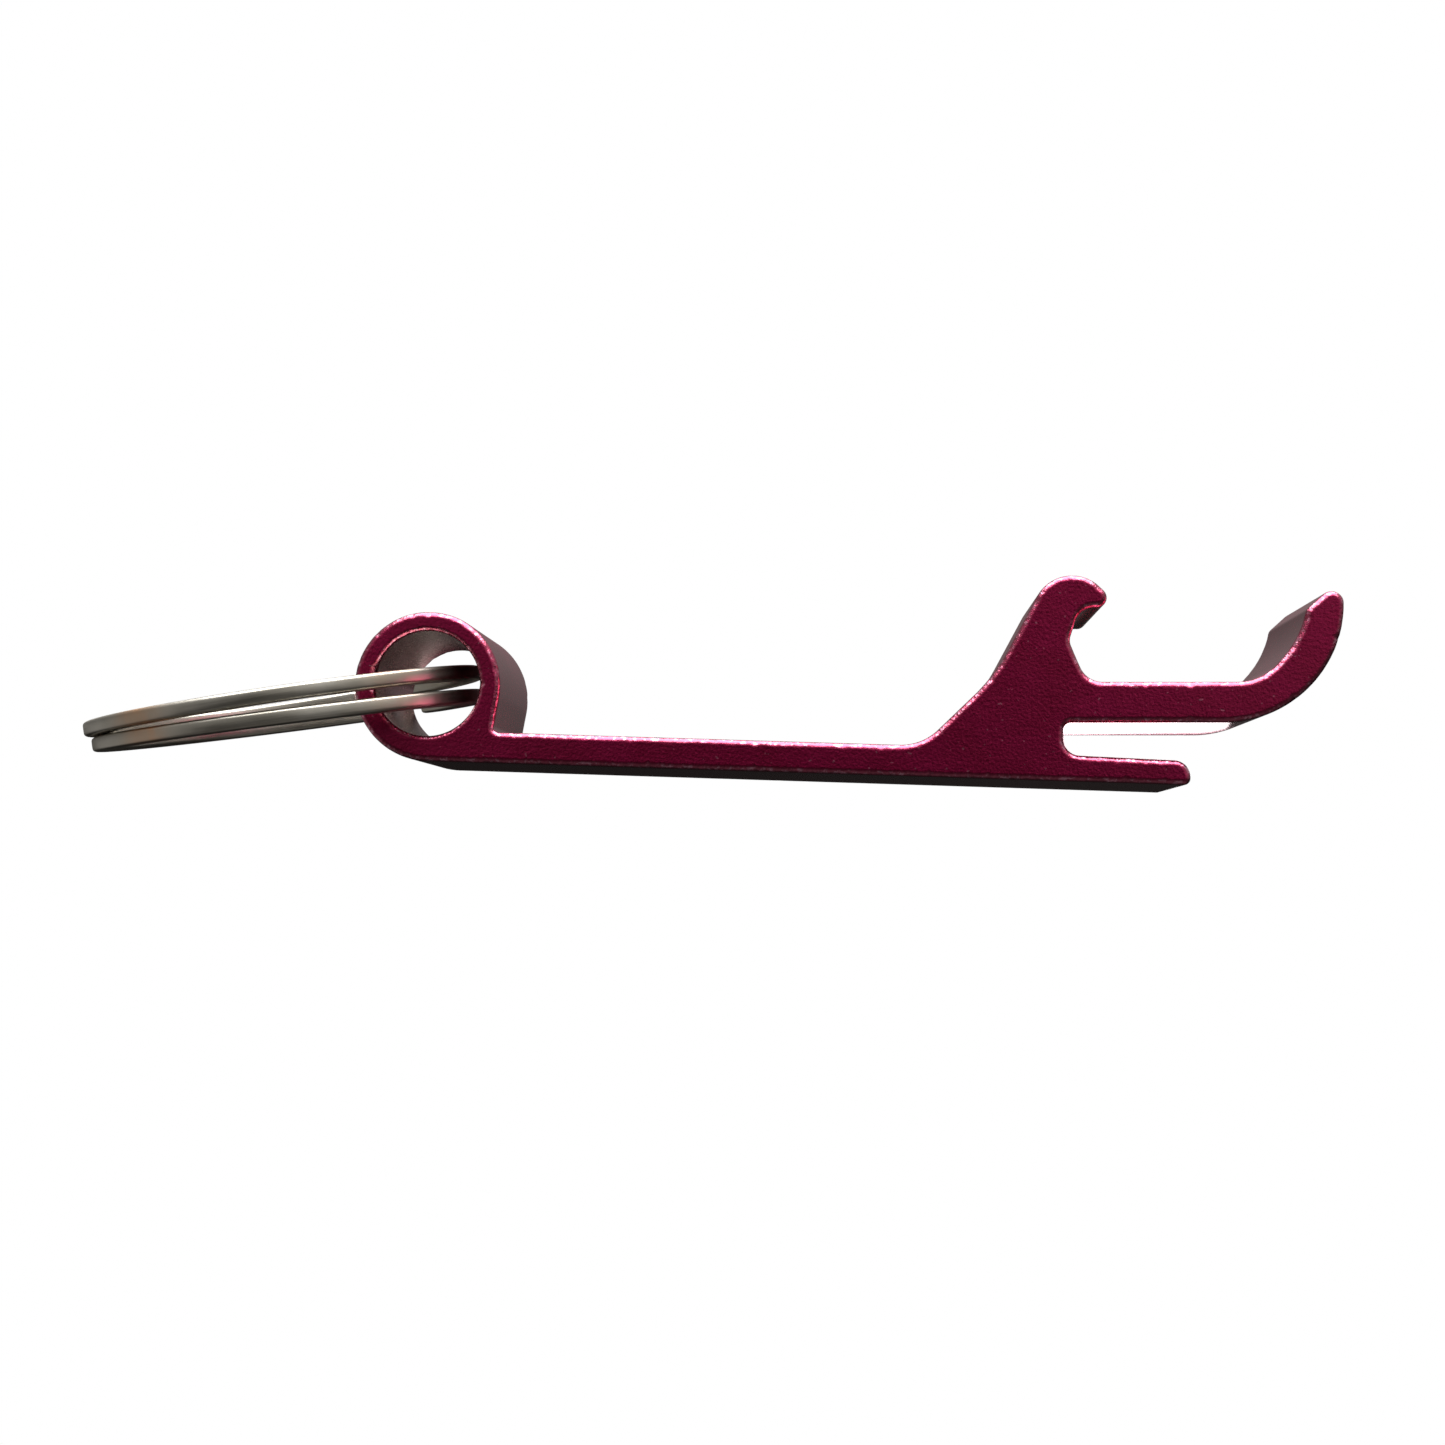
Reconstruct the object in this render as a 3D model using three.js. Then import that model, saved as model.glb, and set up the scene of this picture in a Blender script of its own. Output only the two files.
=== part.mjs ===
// Keychain bottle opener: one extruded aluminium profile with a steel split ring through its barrel.
// Millimetres, +Z up, +X from the key-ring barrel to the opening tip, Y across the width.
// The origin is the centre of the flat underside of the base.
import * as THREE from 'three';

const DEG = Math.PI / 180;

// Profile: overall sizes.
const WIDTH = 12;
const EDGE_BREAK = 0.25;
const BASE_THICKNESS = 1.9;
const ORIGIN_FROM_HOLE = 23.05;

// Barrel that carries the split ring. Profile x is measured from the barrel hole.
const BARREL_RADIUS = 4.52;
const BARREL_TOP = 9.22;
const BARREL_HEEL_RADIUS = 4.7;
const HOLE_RADIUS = 3.25;
const HOLE_HEIGHT = 4.8;

// Arm and lower prong with the can-tab slot between them.
const ARM_SLOPE = Math.tan(1.7 * DEG);
const ARM_UNDERSIDE = 3.57;
const ARM_UNDERSIDE_AT = 39.87;
const ARM_THICKNESS = 2.48;
const TIP_X = 55.52;
const SLOT_END_X = 38.95;
const PRONG_END_X = 46.58;
const PRONG_ROOT_HEIGHT = 1.6;
const PRONG_END_HEIGHT = 1.46;

// Split ring: two flat turns of wire, closed at the far side and spread apart beside the barrel.
const RING_OUTER_RADIUS = 12.7;
const WIRE_RADIAL = 1.9;
const WIRE_AXIAL = 0.955;
const WIRE_CORNER = 0.3;
const CLOSED_PITCH = 1.0;
const SPREAD_PITCH = 1.535;
const SPREAD_AT = -9 * DEG;
const SECOND_TURN_INSET = 0.2;
const CROSSOVER_AT = 64 * DEG;
const CROSSOVER_HALF = 12 * DEG;
const WIRE_END_GAP = 3 * DEG;
const RING_STEPS = 110;

// How the ring rests: its place in the hole, then its lean to the table and roll about its long axis.
const RING_REACH_PAST_HOLE = 2.35;
const RING_LIFT = 0.19;
const RING_SIDE_SHIFT = 0.27;
const RING_LEAN = 9.83 * DEG;
const RING_ROLL = 4.53 * DEG;

// Largest turn between two points of an arc.
const PROFILE_ARC_STEP = 8 * DEG;
const WIRE_ARC_STEP = 45 * DEG;
const SAME_POINT = 0.02;

function armUnderside(x) {
  return ARM_UNDERSIDE + ARM_SLOPE * (x - ARM_UNDERSIDE_AT);
}

function armTop(x) {
  return armUnderside(x) + ARM_THICKNESS;
}

// Corners of the outer profile, counter-clockwise: x from the hole, height, corner radius.
function profileCorners() {
  return [
    [-BARREL_RADIUS, 0, BARREL_HEEL_RADIUS],
    [PRONG_END_X, 0, 0.4],
    [PRONG_END_X, PRONG_END_HEIGHT, 1.0],
    [SLOT_END_X, PRONG_ROOT_HEIGHT, 1.0],
    [SLOT_END_X, armUnderside(SLOT_END_X), 0.45],
    [TIP_X, armUnderside(TIP_X), 7.3],
    [TIP_X, 12.95, 0.72],
    [53.28, 10.8, 0.5],
    [52.97, 9.15, 6.0],
    [50.75, armTop(50.75), 3.3],
    [40.25, armTop(40.25), 1.5],
    [39.14, 8.52, 0.9],
    [39.77, 10.62, 1.2],
    [42.2, 10.6, 0.6],
    [38.66, 14.2, 2.4],
    [34.68, 6.26, 11.0],
    [30.42, BASE_THICKNESS, 3.2],
    [4.17, BASE_THICKNESS, 0.35],
    [BARREL_RADIUS, 4.26, 4.4],
    [BARREL_RADIUS, BARREL_TOP, BARREL_RADIUS],
    [-BARREL_RADIUS, BARREL_TOP, BARREL_RADIUS],
  ];
}

// Points of one rounded corner between its two neighbours.
function roundedCorner(before, corner, after, arcStep) {
  const tip = new THREE.Vector2(corner[0], corner[1]);
  const back = new THREE.Vector2(before[0], before[1]).sub(tip).normalize();
  const ahead = new THREE.Vector2(after[0], after[1]).sub(tip).normalize();
  const half = Math.acos(THREE.MathUtils.clamp(back.dot(ahead), -1, 1)) / 2;
  const radius = corner[2];
  const toCentre = back.clone().add(ahead).normalize().multiplyScalar(radius / Math.sin(half));
  const centre = tip.clone().add(toCentre);
  const start = tip.clone().addScaledVector(back, radius / Math.tan(half)).sub(centre);
  const end = tip.clone().addScaledVector(ahead, radius / Math.tan(half)).sub(centre);
  const from = start.angle();
  let sweep = end.angle() - from;
  if (sweep > Math.PI) sweep -= 2 * Math.PI;
  if (sweep < -Math.PI) sweep += 2 * Math.PI;
  const steps = Math.max(2, Math.ceil(Math.abs(sweep) / arcStep));
  const points = [];
  for (let i = 0; i <= steps; i += 1) {
    const angle = from + (sweep * i) / steps;
    points.push(new THREE.Vector2(
      centre.x + radius * Math.cos(angle),
      centre.y + radius * Math.sin(angle),
    ));
  }
  return points;
}

// Whole outline; where two corners meet, the shared point is kept once.
function roundedOutline(corners, arcStep) {
  const points = corners.flatMap((corner, i) => {
    const before = corners[(i + corners.length - 1) % corners.length];
    const after = corners[(i + 1) % corners.length];
    return roundedCorner(before, corner, after, arcStep);
  });
  return points.filter((point, i) => {
    const next = points[(i + 1) % points.length];
    return point.distanceTo(next) > SAME_POINT;
  });
}

function makeOpenerBody() {
  const shape = new THREE.Shape(roundedOutline(profileCorners(), PROFILE_ARC_STEP));
  const hole = new THREE.Path();
  hole.absarc(0, HOLE_HEIGHT, HOLE_RADIUS, 0, 2 * Math.PI, true);
  shape.holes.push(hole);
  const geometry = new THREE.ExtrudeGeometry(shape, {
    depth: WIDTH - 2 * EDGE_BREAK,
    curveSegments: 24,
    bevelThickness: EDGE_BREAK,
    bevelSize: EDGE_BREAK,
    bevelOffset: -EDGE_BREAK,
    bevelSegments: 2,
  });
  geometry.translate(-ORIGIN_FROM_HOLE, 0, EDGE_BREAK - WIDTH / 2);
  geometry.rotateX(Math.PI / 2);
  return geometry;
}

// Distance between the middles of the two turns; angle 0 is the side that runs through the barrel.
function turnPitch(angle) {
  return CLOSED_PITCH + (SPREAD_PITCH - CLOSED_PITCH) * (1 + Math.cos(angle - SPREAD_AT)) / 2;
}

// Centre line of the wire: one full turn, a crossover to the next layer, a second full turn.
class SplitRingPath extends THREE.Curve {
  angleAt(t) {
    const start = CROSSOVER_AT + CROSSOVER_HALF + WIRE_END_GAP;
    const sweep = 4 * Math.PI - 2 * (CROSSOVER_HALF + WIRE_END_GAP);
    return start + sweep * t;
  }

  getPoint(t, target = new THREE.Vector3()) {
    const angle = this.angleAt(t);
    const crossing = CROSSOVER_AT + 2 * Math.PI;
    const share = THREE.MathUtils.smoothstep(
      angle,
      crossing - CROSSOVER_HALF,
      crossing + CROSSOVER_HALF,
    );
    const inset = share * SECOND_TURN_INSET;
    const radius = RING_OUTER_RADIUS - WIRE_RADIAL / 2 - inset;
    return target.set(
      inset + radius * Math.cos(angle),
      radius * Math.sin(angle),
      turnPitch(angle) * (0.5 - share),
    );
  }

  computeFrenetFrames(steps) {
    const tangents = [];
    const normals = [];
    const binormals = [];
    for (let i = 0; i <= steps; i += 1) {
      const angle = this.angleAt(this.getUtoTmapping(i / steps));
      tangents.push(new THREE.Vector3(-Math.sin(angle), Math.cos(angle), 0));
      normals.push(new THREE.Vector3(Math.cos(angle), Math.sin(angle), 0));
      binormals.push(new THREE.Vector3(0, 0, -1));
    }
    return { tangents, normals, binormals };
  }
}

function makeWireSection() {
  const halfRadial = WIRE_RADIAL / 2;
  const halfAxial = WIRE_AXIAL / 2;
  return new THREE.Shape(roundedOutline([
    [-halfRadial, -halfAxial, WIRE_CORNER],
    [halfRadial, -halfAxial, WIRE_CORNER],
    [halfRadial, halfAxial, WIRE_CORNER],
    [-halfRadial, halfAxial, WIRE_CORNER],
  ], WIRE_ARC_STEP));
}

function makeSplitRing() {
  const geometry = new THREE.ExtrudeGeometry(makeWireSection(), {
    steps: RING_STEPS,
    extrudePath: new SplitRingPath(),
  });
  const distance = RING_OUTER_RADIUS - RING_REACH_PAST_HOLE;
  geometry.translate(-distance, RING_SIDE_SHIFT, RING_LIFT);
  geometry.rotateX(RING_ROLL);
  geometry.rotateY(-RING_LEAN);
  geometry.translate(-ORIGIN_FROM_HOLE, 0, HOLE_HEIGHT);
  return geometry;
}

function makeMesh(name, geometry, material) {
  const mesh = new THREE.Mesh(geometry, new THREE.MeshStandardMaterial(material));
  mesh.name = name;
  return mesh;
}

const part = new THREE.Group();
part.name = 'keychain_bottle_opener';

part.add(makeMesh('opener_body', makeOpenerBody(), {
  color: 0x7a0f38,
  roughness: 0.38,
  metalness: 0.85,
}));

part.add(makeMesh('split_ring', makeSplitRing(), {
  color: 0xb9b6ae,
  roughness: 0.24,
  metalness: 1.0,
}));

export default part;
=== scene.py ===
"""Keychain bottle opener: a dyed, anodised aluminium profile with a nickel-plated split ring."""

import math

import bpy
import bmesh
import numpy as np
from mathutils import Matrix, Vector, noise


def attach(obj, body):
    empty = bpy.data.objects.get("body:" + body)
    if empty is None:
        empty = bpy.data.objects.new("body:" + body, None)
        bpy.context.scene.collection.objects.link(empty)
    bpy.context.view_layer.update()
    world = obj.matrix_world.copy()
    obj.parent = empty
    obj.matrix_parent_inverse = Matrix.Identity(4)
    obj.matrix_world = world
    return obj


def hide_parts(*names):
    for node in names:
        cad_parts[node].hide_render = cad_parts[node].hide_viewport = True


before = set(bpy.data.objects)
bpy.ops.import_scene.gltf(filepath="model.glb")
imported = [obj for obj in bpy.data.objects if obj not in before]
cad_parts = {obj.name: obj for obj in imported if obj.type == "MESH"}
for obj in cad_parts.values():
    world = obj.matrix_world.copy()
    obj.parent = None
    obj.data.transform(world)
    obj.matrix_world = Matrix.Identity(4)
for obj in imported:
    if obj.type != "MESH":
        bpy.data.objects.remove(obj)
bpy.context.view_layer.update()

MM = 0.001
scene = bpy.context.scene


# ---------------------------------------------------------------- camera
CAMERA_AT = Vector((2.97, -134.85, -6.32)) * MM
CAMERA_YAW = math.radians(3.43)
CAMERA_PITCH = math.radians(94.09)
CAMERA_ROLL = math.radians(1.97)
LENS = 52.96
SENSOR = 36.0


def make_camera():
    data = bpy.data.cameras.new("camera")
    data.lens = LENS
    data.sensor_width = SENSOR
    data.clip_start = 0.005
    data.clip_end = 20.0
    camera = bpy.data.objects.new("camera", data)
    scene.collection.objects.link(camera)
    turn = (
        Matrix.Rotation(CAMERA_YAW, 4, "Z")
        @ Matrix.Rotation(CAMERA_PITCH, 4, "X")
        @ Matrix.Rotation(CAMERA_ROLL, 4, "Z")
    )
    camera.matrix_world = Matrix.Translation(CAMERA_AT) @ turn
    scene.camera = camera


make_camera()


# ---------------------------------------------------------------- node helpers
def new_material(name):
    material = bpy.data.materials.new(name)
    material.use_nodes = True
    tree = material.node_tree
    tree.nodes.clear()
    output = tree.nodes.new("ShaderNodeOutputMaterial")
    return material, tree, output


def add(tree, kind, **settings):
    node = tree.nodes.new(kind)
    for key, value in settings.items():
        setattr(node, key, value)
    return node


def feed(tree, node, socket, value):
    if isinstance(value, bpy.types.NodeSocket):
        tree.links.new(value, node.inputs[socket])
    else:
        node.inputs[socket].default_value = value


def math_node(tree, operation, first, second):
    node = add(tree, "ShaderNodeMath", operation=operation)
    feed(tree, node, 0, first)
    feed(tree, node, 1, second)
    return node.outputs[0]


def span(tree, value, low, high, to_low=0.0, to_high=1.0, smooth=True):
    node = add(tree, "ShaderNodeMapRange")
    node.interpolation_type = "SMOOTHSTEP" if smooth else "LINEAR"
    node.clamp = True
    feed(tree, node, "Value", value)
    feed(tree, node, "From Min", low)
    feed(tree, node, "From Max", high)
    feed(tree, node, "To Min", to_low)
    feed(tree, node, "To Max", to_high)
    return node.outputs[0]


def mix_colour(tree, share, first, second):
    node = add(tree, "ShaderNodeMix", data_type="RGBA")
    feed(tree, node, 0, share)
    feed(tree, node, 6, first)
    feed(tree, node, 7, second)
    return node.outputs[2]


def mix_value(tree, share, first, second):
    node = add(tree, "ShaderNodeMix", data_type="FLOAT")
    feed(tree, node, 0, share)
    feed(tree, node, 2, first)
    feed(tree, node, 3, second)
    return node.outputs[0]


def mix_shader(tree, share, first, second):
    node = add(tree, "ShaderNodeMixShader")
    feed(tree, node, 0, share)
    feed(tree, node, 1, first)
    feed(tree, node, 2, second)
    return node.outputs[0]


def noise_at(tree, vector, per_mm, detail=2.0, rough=0.5):
    node = add(tree, "ShaderNodeTexNoise")
    feed(tree, node, "Vector", vector)
    feed(tree, node, "Scale", per_mm / MM)
    feed(tree, node, "Detail", detail)
    feed(tree, node, "Roughness", rough)
    return node.outputs["Fac"]


def bump(tree, height, distance, strength=1.0, normal=None):
    node = add(tree, "ShaderNodeBump")
    feed(tree, node, "Strength", strength)
    feed(tree, node, "Distance", distance * MM)
    feed(tree, node, "Height", height)
    if normal is not None:
        feed(tree, node, "Normal", normal)
    return node.outputs[0]


def attribute(tree, name):
    return add(tree, "ShaderNodeAttribute", attribute_name=name).outputs["Fac"]


# ---------------------------------------------------------------- anodised aluminium
DYE_DARK = (0.36, 0.004, 0.060, 1)
DYE_BRIGHT = (0.44, 0.006, 0.085, 1)
DYE_GRAIN = (0.58, 0.02, 0.14, 1)
# Pale specks painted into the colour as glints of the blasted surface.
DYE_SPARKLE_SPECK = (0.75, 0.25, 0.38, 1)
DYE_WORN = (0.95, 0.42, 0.60, 1)
GRAIN_SHARE = 0.35
SPARKLE_SPECK_SHARE = 0.55
WORN_SHARE = 0.65

# Noise features per millimetre, and bump heights in millimetres.
CLOUD_PER_MM = 0.35
GRAIN_PER_MM = 7.0
SPARKLE_SPECK_PER_MM = 3.2
WEAR_PER_MM = 3.2
BLAST_PER_MM = 5.5
PEEL_PER_MM = 1.1
DENT_PER_MM = 2.4
BLAST_HEIGHT = 0.018
PEEL_HEIGHT = 0.013
DENT_HEIGHT = 0.060
BUMP_ON_SIDES = 0.3

ANODISED_ROUGH = (0.26, 0.36)
SIDE_ROUGH_CHANGE = -0.04
COAT_ON_SIDES = 0.7
COAT_ON_CUT = 0.17
COAT_ROUGH = 0.22
COAT_IOR = 1.9


def anodised_colour(tree, place, grain, edge):
    """Cloudy dye with a bright grain, small pale specks that are painted glints of the blasted
    surface, and patches worn off the edges.
    """
    cloud = noise_at(tree, place, CLOUD_PER_MM, 3.0)
    sparkle_speck = noise_at(tree, place, SPARKLE_SPECK_PER_MM, 1.0, 0.4)
    dye = mix_colour(tree, span(tree, cloud, 0.3, 0.7), DYE_DARK, DYE_BRIGHT)
    dye = mix_colour(tree, span(tree, grain, 0.3, 0.75, 0.0, GRAIN_SHARE), dye, DYE_GRAIN)
    # Painted glints: sparse pale specks mixed into the dye.
    dye = mix_colour(tree, span(tree, sparkle_speck, 0.71, 0.78, 0.0, SPARKLE_SPECK_SHARE), dye, DYE_SPARKLE_SPECK)
    patch = span(tree, noise_at(tree, place, WEAR_PER_MM, 3.0), 0.50, 0.66)
    worn = math_node(tree, "MULTIPLY", span(tree, edge, 0.35, 0.95, 0.0, WORN_SHARE), patch)
    return mix_colour(tree, worn, dye, DYE_WORN)


def anodised_normal(tree, place, cut, edge):
    """Blasted grain, strongest on the cut faces, with small dents along the edges."""
    peel = noise_at(tree, place, PEEL_PER_MM, 2.0, 0.5)
    blast = noise_at(tree, place, BLAST_PER_MM, 2.0, 0.55)
    dent = noise_at(tree, place, DENT_PER_MM, 2.0, 0.6)
    on_cut = span(tree, cut, 0.0, 0.6, BUMP_ON_SIDES, 1.0)
    normal = bump(tree, peel, PEEL_HEIGHT, on_cut)
    normal = bump(tree, blast, BLAST_HEIGHT, on_cut, normal)
    return bump(tree, dent, DENT_HEIGHT, edge, normal)


def anodised_material():
    material, tree, output = new_material("anodised_aluminium")
    place = add(tree, "ShaderNodeTexCoord").outputs["Object"]
    edge = attribute(tree, "edge")
    cut = attribute(tree, "cut_face")
    grain = noise_at(tree, place, GRAIN_PER_MM, 3.0, 0.6)
    normal = anodised_normal(tree, place, cut, edge)

    rough = span(tree, grain, 0.25, 0.75, *ANODISED_ROUGH, smooth=False)
    side_rough = math_node(tree, "ADD", rough, SIDE_ROUGH_CHANGE)
    face_coat = span(tree, cut, 0.0, 0.7, COAT_ON_SIDES, COAT_ON_CUT)

    shader = add(tree, "ShaderNodeBsdfPrincipled")
    feed(tree, shader, "Base Color", anodised_colour(tree, place, grain, edge))
    feed(tree, shader, "Metallic", 1.0)
    feed(tree, shader, "Roughness", mix_value(tree, cut, side_rough, rough))
    feed(tree, shader, "Normal", normal)
    feed(tree, shader, "Coat Weight", math_node(tree, "MAXIMUM", face_coat, edge))
    feed(tree, shader, "Coat Roughness", COAT_ROUGH)
    feed(tree, shader, "Coat IOR", COAT_IOR)
    feed(tree, shader, "Coat Normal", normal)
    tree.links.new(shader.outputs[0], output.inputs[0])
    return material


# ---------------------------------------------------------------- nickel plate
NICKEL_DARK = (0.55, 0.52, 0.45, 1)
NICKEL_BRIGHT = (0.70, 0.67, 0.60, 1)
# Warm colour painted in as reflections on the ring's camera side.
NICKEL_WARM_REFLECTION = (0.86, 0.54, 0.34, 1)
NICKEL_ROUGH = (0.30, 0.42)
TONE_PER_MM = 0.22
WARM_REFLECTION_PER_MM = 0.6
WAVE_PER_MM = 0.5
WAVE_HEIGHT = 0.03
DRAWN_HEIGHT = 0.004
DRAWN_SCALE = 60.0
DRAWN_STRETCH = 0.03


def nickel_material():
    material, tree, output = new_material("nickel_steel")
    place = add(tree, "ShaderNodeTexCoord").outputs["Object"]

    # Fine lines drawn out along the wire.
    stretch = add(tree, "ShaderNodeMapping")
    feed(tree, stretch, "Vector", add(tree, "ShaderNodeUVMap", uv_map="wire").outputs[0])
    feed(tree, stretch, "Scale", (DRAWN_STRETCH, 1.0, 1.0))
    drawn_node = add(tree, "ShaderNodeTexNoise")
    feed(tree, drawn_node, "Vector", stretch.outputs[0])
    feed(tree, drawn_node, "Scale", DRAWN_SCALE)
    feed(tree, drawn_node, "Detail", 3.0)
    drawn = drawn_node.outputs["Fac"]

    cloud = noise_at(tree, place, TONE_PER_MM, 3.0)
    tone = mix_colour(tree, span(tree, cloud, 0.35, 0.65), NICKEL_DARK, NICKEL_BRIGHT)
    # Painted reflections: warm patches at set angles round the ring, broken up by noise.
    blotch = span(tree, noise_at(tree, place, WARM_REFLECTION_PER_MM, 2.0), 0.35, 0.6, 0.55, 1.0)
    warm_reflection_share = math_node(tree, "MULTIPLY", attribute(tree, "warm_reflection"), blotch)
    tone = mix_colour(tree, warm_reflection_share, tone, NICKEL_WARM_REFLECTION)

    normal = bump(tree, drawn, DRAWN_HEIGHT)
    normal = bump(tree, noise_at(tree, place, WAVE_PER_MM, 2.0), WAVE_HEIGHT, 1.0, normal)

    shader = add(tree, "ShaderNodeBsdfPrincipled")
    feed(tree, shader, "Base Color", tone)
    feed(tree, shader, "Metallic", 1.0)
    feed(tree, shader, "Roughness", span(tree, drawn, 0.3, 0.7, *NICKEL_ROUGH, smooth=False))
    feed(tree, shader, "Normal", normal)
    tree.links.new(shader.outputs[0], output.inputs[0])
    return material


# ---------------------------------------------------------------- opener profile
WIDTH = 12.0
ORIGIN_FROM_HOLE = 23.05
BASE_THICKNESS = 1.9
BARREL_RADIUS = 4.52
BARREL_TOP = 9.22
BARREL_HEEL_RADIUS = 4.7
HOLE_RADIUS = 3.25
HOLE_HEIGHT = 4.8
ARM_SLOPE = math.tan(math.radians(1.7))
ARM_UNDERSIDE = 3.57
ARM_UNDERSIDE_AT = 39.87
ARM_THICKNESS = 2.48
TIP_X = 55.52
SLOT_END_X = 38.95
PRONG_END_X = 46.58
PRONG_ROOT_HEIGHT = 1.6
PRONG_END_HEIGHT = 1.46

OUTLINE_STEP = 0.13
EDGE_ROUND = 0.38
HOLE_EDGE_ROUND = 0.30
EDGE_ROWS = 7
SIDE_ROWS = 12
SIDE_STARTS_PAST_EDGE = 1.6
ARC_STEP = math.radians(7)
NOT_CONVEX = 99.0

# How unevenly the edges are worn: waves and nicks per millimetre, and their depth.
SLOW_WAVE_PER_MM = 0.8
QUICK_WAVE_PER_MM = 2.9
NICK_PER_MM = 1.7
WAVE_SHARE = 0.10
NICK_THRESHOLD = 0.32
NICK_DEPTH = 0.45
LEAST_CORNER = 0.03


def arm_underside(x):
    return ARM_UNDERSIDE + ARM_SLOPE * (x - ARM_UNDERSIDE_AT)


def arm_top(x):
    return arm_underside(x) + ARM_THICKNESS


def profile_corners():
    """x from the hole, height and corner radius in millimetres, counter-clockwise."""
    return [
        (-BARREL_RADIUS, 0, BARREL_HEEL_RADIUS),
        (PRONG_END_X, 0, 0.4),
        (PRONG_END_X, PRONG_END_HEIGHT, 1.0),
        (SLOT_END_X, PRONG_ROOT_HEIGHT, 1.0),
        (SLOT_END_X, arm_underside(SLOT_END_X), 0.45),
        (TIP_X, arm_underside(TIP_X), 7.3),
        (TIP_X, 12.95, 0.72),
        (53.28, 10.8, 0.5),
        (52.97, 9.15, 6.0),
        (50.75, arm_top(50.75), 3.3),
        (40.25, arm_top(40.25), 1.5),
        (39.14, 8.52, 0.9),
        (39.77, 10.62, 1.2),
        (42.2, 10.6, 0.6),
        (38.66, 14.2, 2.4),
        (34.68, 6.26, 11.0),
        (30.42, BASE_THICKNESS, 3.2),
        (4.17, BASE_THICKNESS, 0.35),
        (BARREL_RADIUS, 4.26, 4.4),
        (BARREL_RADIUS, BARREL_TOP, BARREL_RADIUS),
        (-BARREL_RADIUS, BARREL_TOP, BARREL_RADIUS),
    ]


def corner_arc(before, corner, after):
    """Centre, radius, first angle and turn of the arc that rounds one corner."""
    tip = Vector(corner[:2])
    back = (Vector(before[:2]) - tip).normalized()
    ahead = (Vector(after[:2]) - tip).normalized()
    half = back.angle(ahead) / 2
    centre = tip + (back + ahead).normalized() * (corner[2] / math.sin(half))
    start = tip + back * (corner[2] / math.tan(half)) - centre
    end = tip + ahead * (corner[2] / math.tan(half)) - centre
    first = math.atan2(start.y, start.x)
    turn = math.atan2(end.y, end.x) - first
    turn = (turn + math.pi) % (2 * math.pi) - math.pi
    return centre, corner[2], first, turn


def profile_outline(step):
    """Rows of x, height, outward normal x, outward normal z, and the convex radius there."""
    corners = profile_corners()
    count = len(corners)
    arcs = [corner_arc(corners[i - 1], corners[i], corners[(i + 1) % count]) for i in range(count)]
    rows = []
    for i, (centre, radius, first, turn) in enumerate(arcs):
        side = 1.0 if turn > 0 else -1.0
        convex = radius if turn > 0 else NOT_CONVEX
        steps = max(4, math.ceil(abs(turn) * radius / step), math.ceil(abs(turn) / ARC_STEP))
        for k in range(steps + 1):
            angle = first + turn * k / steps
            ray = Vector((math.cos(angle), math.sin(angle)))
            point = centre + ray * radius
            rows.append((point.x, point.y, side * ray.x, side * ray.y, convex))
        after = arcs[(i + 1) % count]
        goal = after[0] + Vector((math.cos(after[2]), math.sin(after[2]))) * after[1]
        start = Vector(rows[-1][:2])
        length = (goal - start).length
        pieces = math.ceil(length / step)
        for k in range(1, pieces):
            point = start.lerp(goal, k / pieces)
            rows.append((point.x, point.y, rows[-1][2], rows[-1][3], NOT_CONVEX))
    kept = []
    for row in rows:
        if not kept or (Vector(row[:2]) - Vector(kept[-1][:2])).length > step * 0.2:
            kept.append(row)
    if (Vector(kept[0][:2]) - Vector(kept[-1][:2])).length < step * 0.2:
        kept.pop()
    return np.array(kept)


def hole_outline(step):
    """The same rows for the barrel's hole, clockwise, so that the normals point into it."""
    steps = math.ceil(2 * math.pi * HOLE_RADIUS / step)
    rows = []
    for k in range(steps):
        angle = -2 * math.pi * k / steps
        c, s = math.cos(angle), math.sin(angle)
        rows.append((HOLE_RADIUS * c, HOLE_HEIGHT + HOLE_RADIUS * s, -c, -s, NOT_CONVEX))
    return np.array(rows)


def noise_around(x, z, per_mm, seed):
    return noise.noise(Vector((x * per_mm, z * per_mm, seed)))


def edge_radius(rows, normal_round, seed):
    """How far the worn, tumbled edge is rounded at each outline point, in millimetres."""
    radii = []
    for x, z, _, _, convex in rows:
        slow = noise_around(x, z, SLOW_WAVE_PER_MM, seed)
        quick = noise_around(x, z, QUICK_WAVE_PER_MM, seed + 7)
        nick = max(0.0, noise_around(x, z, NICK_PER_MM, seed + 19) - NICK_THRESHOLD)
        radius = normal_round * (1 + WAVE_SHARE * slow + WAVE_SHARE * quick) + NICK_DEPTH * nick
        radii.append(min(radius, convex - LEAST_CORNER))
    return np.array(radii)


def shell_rows(rows, edge_round, seed):
    """Grid of vertices from the front cut face round both edges to the back cut face."""
    grid = []
    cut = []
    edge = []
    half = WIDTH / 2

    def add_row(y, inset, cut_share, edge_share):
        x = rows[:, 0] - rows[:, 2] * inset - ORIGIN_FROM_HOLE
        z = rows[:, 1] - rows[:, 3] * inset
        grid.append(np.column_stack([x, np.broadcast_to(y, x.shape), z]))
        cut.append(cut_share)
        edge.append(edge_share)

    def add_edge(side, steps):
        r = edge_radius(rows, edge_round, seed + side)
        for k in steps:
            angle = math.pi / 2 * k / EDGE_ROWS
            y = side * (half - r * (1 - math.cos(angle)))
            add_row(y, r * (1 - math.sin(angle)), math.cos(angle), math.sin(2 * angle))

    add_edge(-1, range(EDGE_ROWS + 1))
    inner = half - edge_round * SIDE_STARTS_PAST_EDGE
    for k in range(SIDE_ROWS + 1):
        add_row(-inner + 2 * inner * k / SIDE_ROWS, 0.0, 0.0, 0.0)
    add_edge(1, range(EDGE_ROWS, -1, -1))
    return np.array(grid), np.array(cut), np.array(edge)


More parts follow.
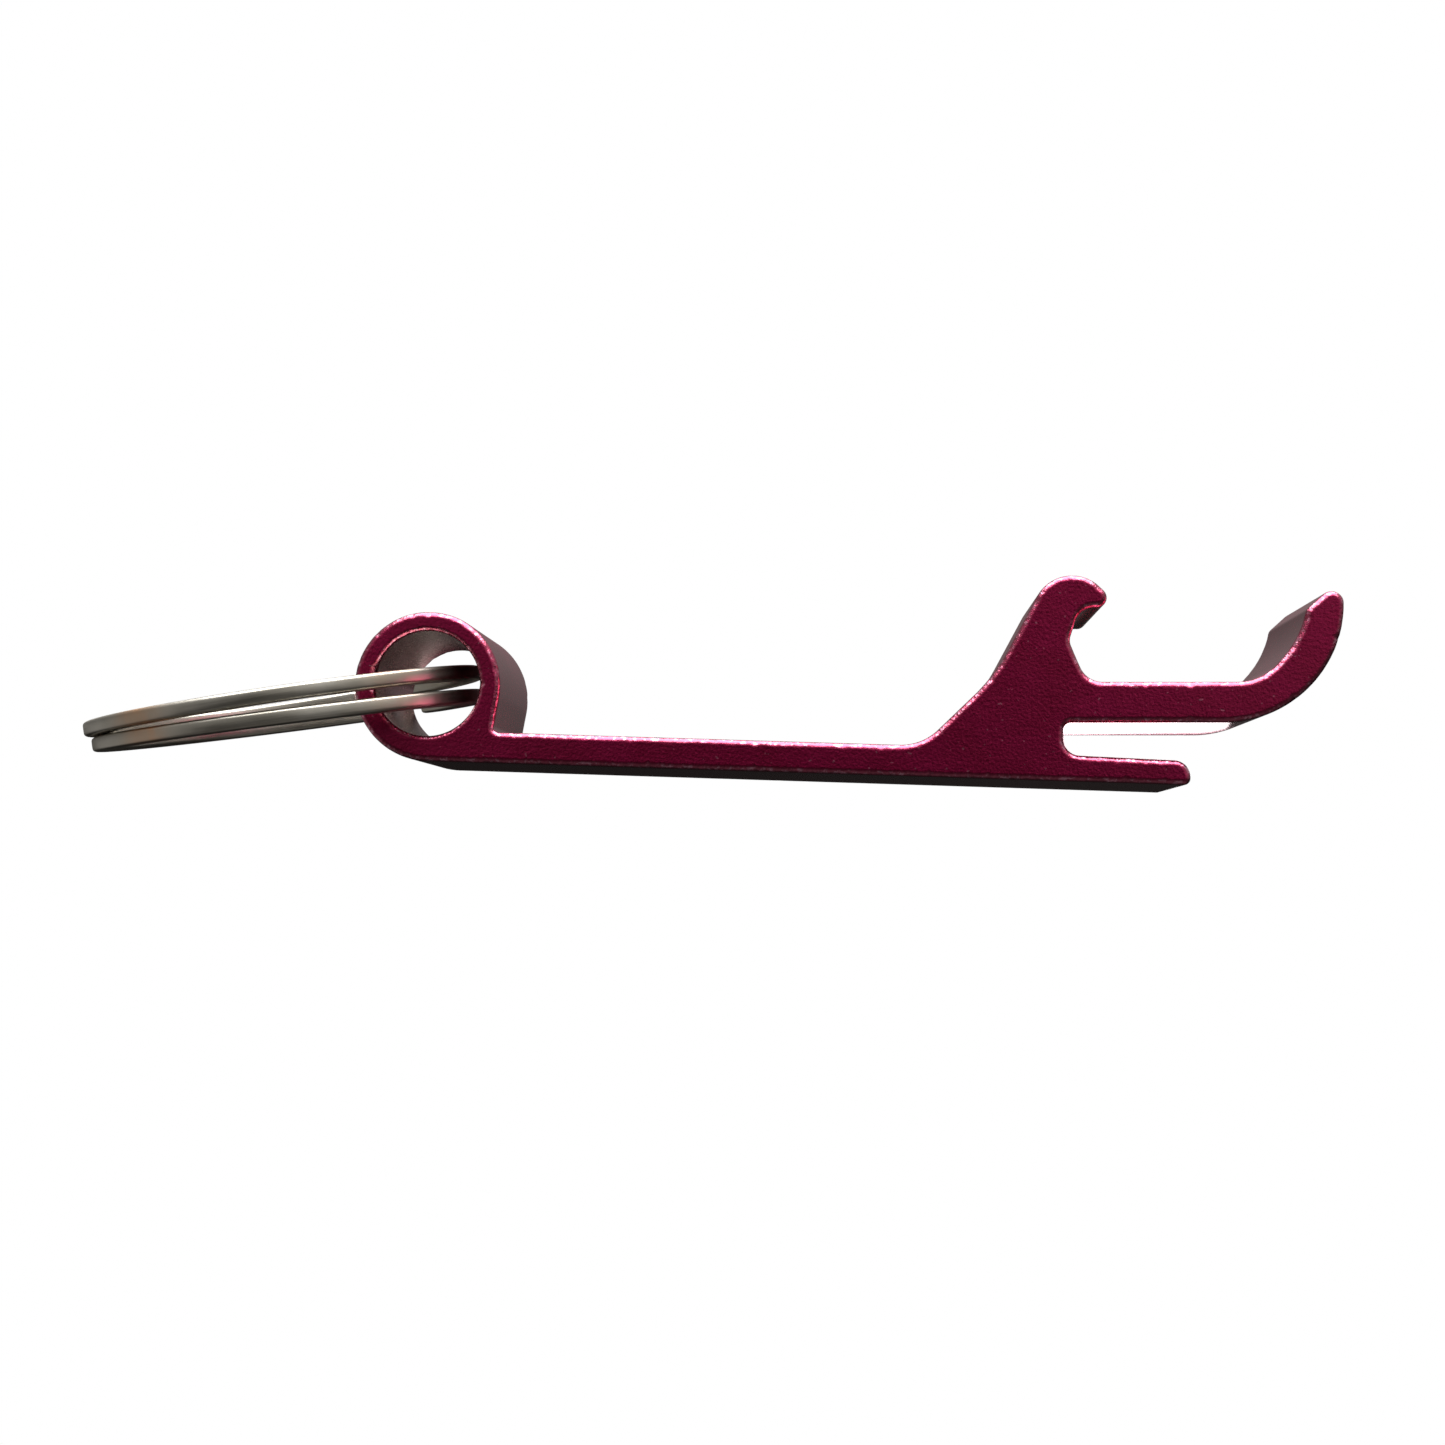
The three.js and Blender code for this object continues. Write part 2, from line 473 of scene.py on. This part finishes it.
def grid_normals(grid):
    """Unit normals of a closed-round grid by central differences."""
    along = np.roll(grid, -1, axis=1) - np.roll(grid, 1, axis=1)
    across = np.empty_like(grid)
    across[1:-1] = grid[2:] - grid[:-2]
    across[0] = grid[1] - grid[0]
    across[-1] = grid[-1] - grid[-2]
    normal = np.cross(across, along)
    return normal / np.maximum(np.linalg.norm(normal, axis=2, keepdims=True), 1e-12)


def add_shell(bm, grid):
    """Quads between the rows of a grid; returns the edges of its front and back openings."""
    rings, count = grid.shape[:2]
    verts = [[bm.verts.new(point * MM) for point in row] for row in grid]
    for i in range(rings - 1):
        for j in range(count):
            k = (j + 1) % count
            bm.faces.new((verts[i][j], verts[i][k], verts[i + 1][k], verts[i + 1][j]))
    return [
        [bm.edges.get((row[j], row[(j + 1) % count])) for j in range(count)]
        for row in (verts[0], verts[-1])
    ]


def make_opener():
    bm = bmesh.new()
    normals = []
    cut_values = []
    edge_values = []
    front_edges = []
    back_edges = []
    shells = (
        (profile_outline(OUTLINE_STEP), EDGE_ROUND, 3.0),
        (hole_outline(OUTLINE_STEP), HOLE_EDGE_ROUND, 11.0),
    )
    for rows, edge_round, seed in shells:
        grid, cut, edge = shell_rows(rows, edge_round, seed)
        found = grid_normals(grid)
        found[0] = (0, -1, 0)
        found[-1] = (0, 1, 0)
        normals.extend(found.reshape(-1, 3))
        cut_values.extend(np.repeat(cut, grid.shape[1]))
        edge_values.extend(np.repeat(edge, grid.shape[1]))
        front, back = add_shell(bm, grid)
        front_edges += front
        back_edges += back
    bmesh.ops.triangle_fill(bm, use_beauty=True, edges=front_edges, normal=(0, -1, 0))
    bmesh.ops.triangle_fill(bm, use_beauty=True, edges=back_edges, normal=(0, 1, 0))
    bmesh.ops.recalc_face_normals(bm, faces=bm.faces)
    mesh = bpy.data.meshes.new("opener_shell")
    bm.to_mesh(mesh)
    bm.free()
    store(mesh, "cut_face", cut_values)
    store(mesh, "edge", edge_values)
    smooth(mesh, normals)
    return mesh


def store(mesh, name, values):
    layer = mesh.attributes.new(name, "FLOAT", "POINT")
    layer.data.foreach_set("value", np.array(values, np.float32))


def smooth(mesh, normals):
    mesh.polygons.foreach_set("use_smooth", [True] * len(mesh.polygons))
    normals = np.array(normals, np.float32)
    mesh.normals_split_custom_set_from_vertices([tuple(n) for n in normals])


# ---------------------------------------------------------------- split ring
RING_OUTER_RADIUS = 12.7
WIRE_RADIAL = 1.9
WIRE_AXIAL = 0.955
CLOSED_PITCH = 1.0
SPREAD_PITCH = 1.535
SPREAD_AT = math.radians(-9)
SECOND_TURN_INSET = 0.2
CROSSOVER_AT = math.radians(64)
CROSSOVER_HALF = math.radians(12)
WIRE_END_GAP = math.radians(3)
RING_REACH_PAST_HOLE = 2.35
RING_LIFT = 0.19
RING_SIDE_SHIFT = 0.27
RING_LEAN = math.radians(9.83)
RING_ROLL = math.radians(4.53)

WIRE_STEPS = 720
WIRE_SIDES = 36
WIRE_SQUARENESS = 5.0
WIRE_END_ROUND = 0.22
WIRE_END_STEPS = 5
WIRE_END_TAPER = 0.28
WIRE_UV_LENGTH = 10
WIRE_UV_GIRTH = 0.5

# Warm patches painted on the camera side of the ring as reflections of a warm surrounding: degrees
# round the ring, half-width in degrees, strength.
WARM_REFLECTIONS = (
    (240, 7, 1.0),
    (315, 8, 0.35),
)


def ring_place():
    """From the ring's own plane to the object's frame, in millimetres."""
    distance = RING_OUTER_RADIUS - RING_REACH_PAST_HOLE
    return (
        Matrix.Translation((-ORIGIN_FROM_HOLE, 0, HOLE_HEIGHT))
        @ Matrix.Rotation(-RING_LEAN, 4, "Y")
        @ Matrix.Rotation(RING_ROLL, 4, "X")
        @ Matrix.Translation((-distance, RING_SIDE_SHIFT, RING_LIFT))
    )


def turn_pitch(angle):
    return CLOSED_PITCH + (SPREAD_PITCH - CLOSED_PITCH) * (1 + math.cos(angle - SPREAD_AT)) / 2


def wire_centre(angle):
    crossing = CROSSOVER_AT + 2 * math.pi
    t = (angle - (crossing - CROSSOVER_HALF)) / (2 * CROSSOVER_HALF)
    t = min(1.0, max(0.0, t))
    share = t * t * (3 - 2 * t)
    inset = share * SECOND_TURN_INSET
    radius = RING_OUTER_RADIUS - WIRE_RADIAL / 2 - inset
    return Vector((
        inset + radius * math.cos(angle),
        radius * math.sin(angle),
        turn_pitch(angle) * (0.5 - share),
    ))


def wire_section(scale):
    """Rounded section of the wire: radial and axial offsets."""
    points = []
    power = 2 / WIRE_SQUARENESS
    for k in range(WIRE_SIDES):
        angle = 2 * math.pi * k / WIRE_SIDES
        c, s = math.cos(angle), math.sin(angle)
        radial = math.copysign(abs(c) ** power, c) * WIRE_RADIAL / 2
        axial = math.copysign(abs(s) ** power, s) * WIRE_AXIAL / 2
        points.append((radial * scale, axial * scale))
    return points


def warm_reflection_at(angle):
    turned = math.degrees(angle) % 360
    return sum(strength * math.exp(-((turned - at) / width) ** 2) for at, width, strength in WARM_REFLECTIONS)


def wire_stations():
    """Angle and section scale along the wire, with a few small sections that round each end."""
    start = CROSSOVER_AT + CROSSOVER_HALF + WIRE_END_GAP
    sweep = 4 * math.pi - 2 * (CROSSOVER_HALF + WIRE_END_GAP)
    end_angle = WIRE_END_ROUND / RING_OUTER_RADIUS
    stations = [(start + sweep * k / WIRE_STEPS, 1.0) for k in range(WIRE_STEPS + 1)]
    for k in range(1, WIRE_END_STEPS):
        turn = math.pi / 2 * k / WIRE_END_STEPS
        scale = 1 - WIRE_END_TAPER * (1 - math.cos(turn))
        shift = end_angle * math.sin(turn)
        stations.insert(0, (start - shift, scale))
        stations.append((start + sweep + shift, scale))
    return stations


def make_ring():
    place = ring_place()
    bm = bmesh.new()
    rings = []
    lengths = []
    warm_reflection_values = []
    for angle, scale in wire_stations():
        centre = wire_centre(angle)
        outward = Vector((math.cos(angle), math.sin(angle), 0))
        row = []
        for radial, axial in wire_section(scale):
            local = centre + outward * radial + Vector((0, 0, axial))
            row.append(bm.verts.new((place @ local) * MM))
            warm_reflection_values.append(warm_reflection_at(angle))
        rings.append(row)
        lengths.append(angle * RING_OUTER_RADIUS / WIRE_UV_LENGTH)
    uv = bm.loops.layers.uv.new("wire")
    for i in range(len(rings) - 1):
        for j in range(WIRE_SIDES):
            k = (j + 1) % WIRE_SIDES
            face = bm.faces.new((rings[i][j], rings[i][k], rings[i + 1][k], rings[i + 1][j]))
            us = (lengths[i], lengths[i], lengths[i + 1], lengths[i + 1])
            vs = (j, j + 1, j + 1, j)
            for loop, u, v in zip(face.loops, us, vs):
                loop[uv].uv = (u, v / WIRE_SIDES * WIRE_UV_GIRTH)
    bm.faces.new(rings[0])
    bm.faces.new(list(reversed(rings[-1])))
    bmesh.ops.recalc_face_normals(bm, faces=bm.faces)
    mesh = bpy.data.meshes.new("ring_wire")
    bm.to_mesh(mesh)
    bm.free()
    store(mesh, "warm_reflection", warm_reflection_values)
    mesh.polygons.foreach_set("use_smooth", [len(p.vertices) == 4 for p in mesh.polygons])
    return mesh


# ---------------------------------------------------------------- pieces
def add_piece(name, mesh, material, body, node):
    piece = bpy.data.objects.new(name, mesh)
    scene.collection.objects.link(piece)
    mesh.materials.append(material)
    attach(piece, body)
    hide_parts(node)
    return piece


add_piece("opener", make_opener(), anodised_material(), "opener", "opener_body")
add_piece("key_ring", make_ring(), nickel_material(), "ring", "split_ring")


# ---------------------------------------------------------------- floor, light and backdrop
FLOOR_SIZE = 3.0
FLOOR_DROP = 0.05 * MM
FLOOR_GREY = (0.38, 0.38, 0.38, 1)
FLOOR_FADE = (0.10, 0.45)

TOP_LIGHT_AT = (0, -0.05, 0.42)
TOP_LIGHT_SIZE = (0.6, 0.6)
TOP_LIGHT_WATTS = 6.0

# Glowing panel behind the can-tab slot, seen only in reflections, where it paints a bright
# reflection on the arm's underside; in millimetres.
GLOW_PANEL_SPAN_X = (16.5, 28.0)
GLOW_PANEL_AT_Y = 5.95
GLOW_PANEL_HEIGHT = 3.4
GLOW_PANEL_LEVEL = 4.0

# The room that reflections see: its brightness in each direction.
ROOM_COLOUR = (1.0, 0.97, 0.93, 1.0)
ROOM_TOP = 0.5
ROOM_HORIZON = 0.115
ROOM_FRONT = 0.28
ROOM_LOW_FRONT = 0.05
ROOM_LOW_BACK_SHARE = 0.25
ROOM_LOW_LEFT = 0.30
ROOM_BELOW = 0.13
ROOM_LEFT_SHARE = 0.8
ROOM_RIGHT_SHARE = 1.2

# Parts of a unit direction between which one brightness passes into the next.
FRONT_TO_BACK = (-0.6, 0.4)
LOW_FRONT_TO_BACK = (-0.2, 0.35)
STRAIGHT_AHEAD = (-0.9995, -0.955)
LEFT_TO_RIGHT = (-0.25, 0.25)
LOW_LEFT_TO_MIDDLE = (-0.85, -0.45)
DOWN_TO_LOW = (-0.95, -0.55)
LOW_TO_LEVEL = (-0.06, 0.04)
LEVEL_TO_UP = (0.0, 0.95)


def one_sided(tree, output, shader):
    """The shader on the front of a face and nothing on its back."""
    clear = add(tree, "ShaderNodeBsdfTransparent").outputs[0]
    behind = add(tree, "ShaderNodeNewGeometry").outputs["Backfacing"]
    tree.links.new(mix_shader(tree, behind, shader, clear), output.inputs[0])


def make_floor():
    """Pale floor that fades to the white backdrop, seen only from above."""
    mesh = bpy.data.meshes.new("floor")
    h = FLOOR_SIZE
    mesh.from_pydata([(-h, -h, 0), (h, -h, 0), (h, h, 0), (-h, h, 0)], [], [(0, 1, 2, 3)])
    floor = bpy.data.objects.new("floor", mesh)
    floor.location.z = -FLOOR_DROP
    scene.collection.objects.link(floor)
    material, tree, output = new_material("pale_floor")
    matt = add(tree, "ShaderNodeBsdfDiffuse")
    feed(tree, matt, "Color", FLOOR_GREY)
    white = add(tree, "ShaderNodeEmission")
    away = add(tree, "ShaderNodeVectorMath", operation="LENGTH")
    feed(tree, away, 0, add(tree, "ShaderNodeTexCoord").outputs["Object"])
    fade = span(tree, away.outputs["Value"], *FLOOR_FADE)
    one_sided(tree, output, mix_shader(tree, fade, matt.outputs[0], white.outputs[0]))
    mesh.materials.append(material)
    floor.visible_glossy = False


def make_top_light():
    data = bpy.data.lights.new("top_light", "AREA")
    data.shape = "RECTANGLE"
    data.size, data.size_y = TOP_LIGHT_SIZE
    data.energy = TOP_LIGHT_WATTS
    light = bpy.data.objects.new("top_light", data)
    light.location = TOP_LIGHT_AT
    light.rotation_euler = (-Vector(TOP_LIGHT_AT)).to_track_quat("-Z", "Y").to_euler()
    scene.collection.objects.link(light)
    light.visible_camera = False


def room_brightness(tree, x, y, z):
    """Brightness by direction; the patch straight ahead, where the camera is, stays dark."""
    level_room = span(tree, y, *FRONT_TO_BACK, ROOM_FRONT, ROOM_HORIZON)
    upper = mix_value(tree, span(tree, z, *LEVEL_TO_UP), level_room, ROOM_TOP)
    lower = span(tree, z, *DOWN_TO_LOW, ROOM_BELOW, ROOM_LOW_FRONT)
    to_back = span(tree, y, *LOW_FRONT_TO_BACK, 1.0, ROOM_LOW_BACK_SHARE)
    lower = math_node(tree, "MULTIPLY", lower, to_back)
    left = span(tree, x, *LOW_LEFT_TO_MIDDLE, ROOM_LOW_LEFT, 0.0)
    lower = math_node(tree, "MAXIMUM", lower, left)
    level = mix_value(tree, span(tree, z, *LOW_TO_LEVEL), lower, upper)
    level = math_node(tree, "MULTIPLY", level, span(tree, y, *STRAIGHT_AHEAD))
    sides = span(tree, x, *LEFT_TO_RIGHT, ROOM_LEFT_SHARE, ROOM_RIGHT_SHARE)
    return math_node(tree, "MULTIPLY", level, sides)


def make_world():
    """White to the camera; a soft grey room in reflections."""
    world = bpy.data.worlds.new("room")
    scene.world = world
    world.use_nodes = True
    tree = world.node_tree
    tree.nodes.clear()
    output = add(tree, "ShaderNodeOutputWorld")
    split = add(tree, "ShaderNodeSeparateXYZ")
    feed(tree, split, 0, add(tree, "ShaderNodeTexCoord").outputs["Generated"])
    room = add(tree, "ShaderNodeBackground")
    feed(tree, room, "Color", ROOM_COLOUR)
    feed(tree, room, "Strength", room_brightness(tree, *split.outputs))
    white = add(tree, "ShaderNodeBackground")
    feed(tree, white, "Color", (1, 1, 1, 1))
    seen = add(tree, "ShaderNodeLightPath").outputs["Is Camera Ray"]
    both = mix_shader(tree, seen, room.outputs[0], white.outputs[0])
    tree.links.new(both, output.inputs[0])


def make_slot_glow_panel():
    """A glowing panel across the back of the can-tab slot, no lamp, seen only by reflections from
    in front: a painted bright reflection.
    """
    mesh = bpy.data.meshes.new("slot_glow_panel")
    low, high = GLOW_PANEL_SPAN_X
    y = GLOW_PANEL_AT_Y
    corners = [(low, y, 0), (high, y, 0), (high, y, GLOW_PANEL_HEIGHT), (low, y, GLOW_PANEL_HEIGHT)]
    mesh.from_pydata([Vector(c) * MM for c in corners], [], [(0, 1, 2, 3)])
    slot_glow_panel = bpy.data.objects.new("slot_glow_panel", mesh)
    scene.collection.objects.link(slot_glow_panel)
    material, tree, output = new_material("slot_glow_panel")
    # The panel glows only so that it shows as a painted bright reflection on the arm's underside.
    glow = add(tree, "ShaderNodeEmission")
    feed(tree, glow, "Strength", GLOW_PANEL_LEVEL)
    one_sided(tree, output, glow.outputs[0])
    mesh.materials.append(material)
    slot_glow_panel.visible_camera = False
    slot_glow_panel.visible_diffuse = False
    slot_glow_panel.visible_shadow = False


make_floor()
make_slot_glow_panel()
make_top_light()
make_world()
scene.view_settings.view_transform = "Standard"
scene.view_settings.look = "None"
